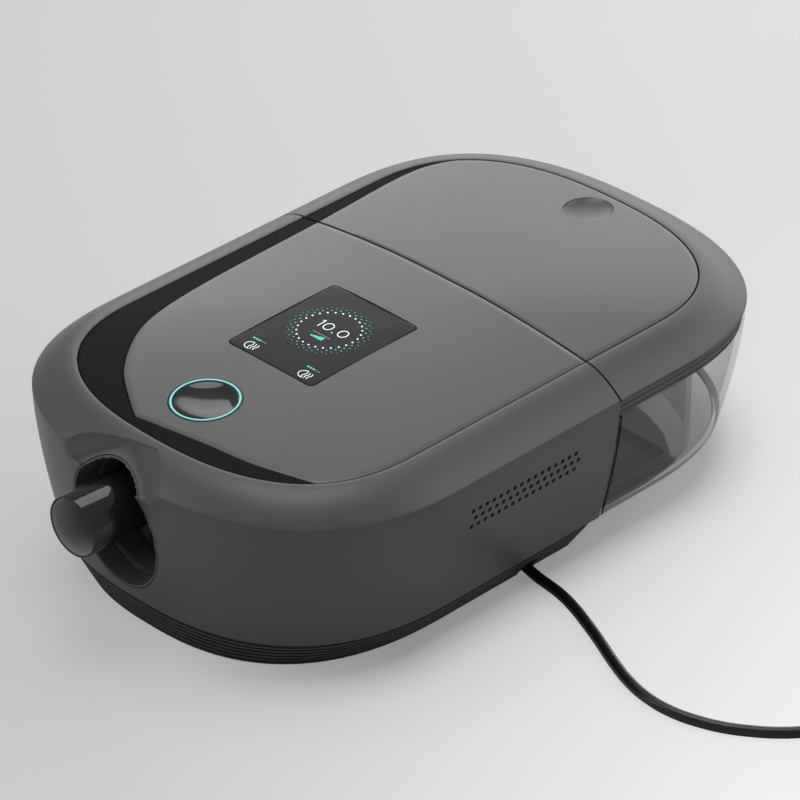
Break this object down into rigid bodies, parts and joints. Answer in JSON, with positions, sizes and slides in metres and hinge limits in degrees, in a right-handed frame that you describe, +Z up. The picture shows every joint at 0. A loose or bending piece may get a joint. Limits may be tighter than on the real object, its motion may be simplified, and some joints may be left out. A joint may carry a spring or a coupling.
{
  "type": "bedside breathing machine with humidifier",
  "caption": "Low rounded bedside machine that blows humidified air from a front outlet, with a lit push button, a display and a clear rear water tank under a lid.",
  "frame": {"origin": "middle of the machine's bounding box at the table surface, the supply lead left out", "axes": "+Z up, -Y towards the air outlet, +Y towards the water tank, +X towards the intake vents and the supply lead"},
  "size_m": [0.3575, 0.269, 0.0793],
  "materials": {
    "housing_grey": "fine matte grain",
    "base_plastic": "matte",
    "black_trim": "satin",
    "inner_plastic": "matte",
    "display_glass": "smooth, lit from behind",
    "button_black": "satin, dished",
    "teal_light": "glowing ring",
    "smoky_clear": "smoky clear plastic",
    "clear_tank": "clear plastic",
    "rubber_black": "matte",
    "cord_black": "satin flexible jacket",
    "board_green": "circuit board",
    "steel": "plain",
    "copper": "enamelled winding",
    "foam_grey": "open foam"
  },
  "bodies": {
    "housing": {"main_shell": "housing_grey", "top_panel": "housing_grey", "base_pan": "base_plastic", "tank_platform": "base_plastic", "filter_frame": "base_plastic", "trim_front": "black_trim", "port_liner": "black_trim", "hose_contacts": "black_trim", "dc_socket": "black_trim", "wall_adapter": "black_trim", "rear_bulkhead": "inner_plastic", "display_module": "inner_plastic", "button_cup": "inner_plastic", "blower_lower": "inner_plastic", "blower_upper": "inner_plastic", "return_duct": "inner_plastic", "display_glass": "display_glass", "light_ring": "teal_light", "outlet_tube": "smoky_clear", "rubber_foot_1": "rubber_black", "rubber_foot_2": "rubber_black", "rubber_foot_3": "rubber_black", "rubber_foot_4": "rubber_black", "port_seal_right": "rubber_black", "port_seal_left": "rubber_black", "blower_mount_1": "rubber_black", "blower_mount_2": "rubber_black", "blower_mount_3": "rubber_black", "cord_tie": "rubber_black", "dc_plug": "cord_black", "plug_boot": "cord_black", "cord_run": "cord_black", "cord_coil": "cord_black", "adapter_boot": "cord_black", "button_board": "board_green", "main_board": "board_green", "case_screw_1": "steel", "case_screw_2": "steel", "case_screw_3": "steel", "case_screw_4": "steel", "button_switch": "steel", "motor_bearing": "steel", "heater_plate": "steel", "motor_stator": "copper", "intake_filter": "foam_grey", "intake_foam": "foam_grey"},
    "power_button": {"button_cap": "button_black"},
    "blower_wheel": {"impeller": "inner_plastic"},
    "water_tank": {"tank_tub": "clear_tank", "tank_base_plate": "steel", "baffle_outer": "clear_tank", "baffle_inner": "clear_tank", "tank_seal": "rubber_black", "tank_frame": "housing_grey", "trim_rear": "black_trim", "hinge_pin": "steel"},
    "tank_lid": {"lid_panel": "housing_grey", "lid_liner": "inner_plastic", "lid_gasket": "rubber_black"}
  },
  "joints": [
    {"name": "button_press", "type": "slide", "parent": "housing", "child": "power_button", "axis": [0, 0.067, -0.9978], "range_m": [0, 0.0008], "stiffness_N_per_m": 1500},
    {"name": "wheel_spin", "type": "hinge", "parent": "housing", "child": "blower_wheel", "pos_m": [0.026, -0.0335, 0.03], "axis": [0, 0, 1], "continuous": true},
    {"name": "tank_slide", "type": "slide", "parent": "housing", "child": "water_tank", "axis": [0, 1, 0], "range_m": [0, 0.09]},
    {"name": "lid_hinge", "type": "hinge", "parent": "water_tank", "child": "tank_lid", "pos_m": [0, 0.0318, 0.0775], "axis": [1, 0, 0], "range_deg": [0, 70]}
  ]
}
